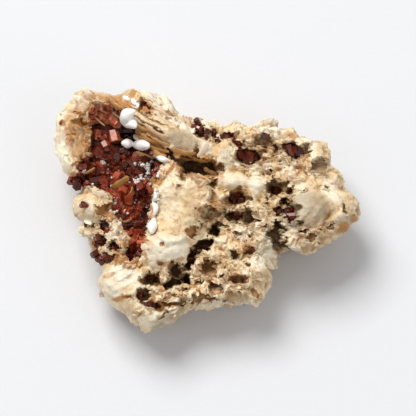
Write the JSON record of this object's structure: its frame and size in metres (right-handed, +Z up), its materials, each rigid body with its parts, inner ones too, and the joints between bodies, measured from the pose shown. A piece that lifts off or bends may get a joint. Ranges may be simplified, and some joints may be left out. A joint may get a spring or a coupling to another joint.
{
  "type": "vanadinite specimen",
  "caption": "Lump of cream barite rock, pitted and faceted, with hollows lined by red hexagonal crystals and white nodules, resting on a flat cut underside.",
  "frame": {"origin": "middle of the bounding box's bottom face, on the flat cut underside", "axes": "+Z up, +X to the right of the front view, -Y towards the front"},
  "size_m": [0.0796, 0.0678, 0.0294],
  "materials": {
    "stone": "rough",
    "red_crystal": "gloss",
    "white_mineral": "satin"
  },
  "bodies": {
    "root": {"barite_matrix": "stone", "vanadinite_crust": "red_crystal", "vanadinite_pocket_upper": "red_crystal", "vanadinite_pocket_ridge": "red_crystal", "vanadinite_pocket_upper_middle": "red_crystal", "vanadinite_pocket_upper_right": "red_crystal", "vanadinite_pocket_centre": "red_crystal", "vanadinite_pocket_right_upper": "red_crystal", "vanadinite_pocket_right_round": "red_crystal", "vanadinite_pocket_left": "red_crystal", "vanadinite_pocket_left_edge": "red_crystal", "vanadinite_pocket_lower": "red_crystal", "vanadinite_pocket_cleft": "red_crystal", "white_nodule_cap": "white_mineral", "white_nodule_pair": "white_mineral", "white_nodule_tail": "white_mineral", "white_nodule_rim": "white_mineral", "white_nodule_ridge": "white_mineral", "white_nodule_druse": "white_mineral"}
  },
  "joints": []
}
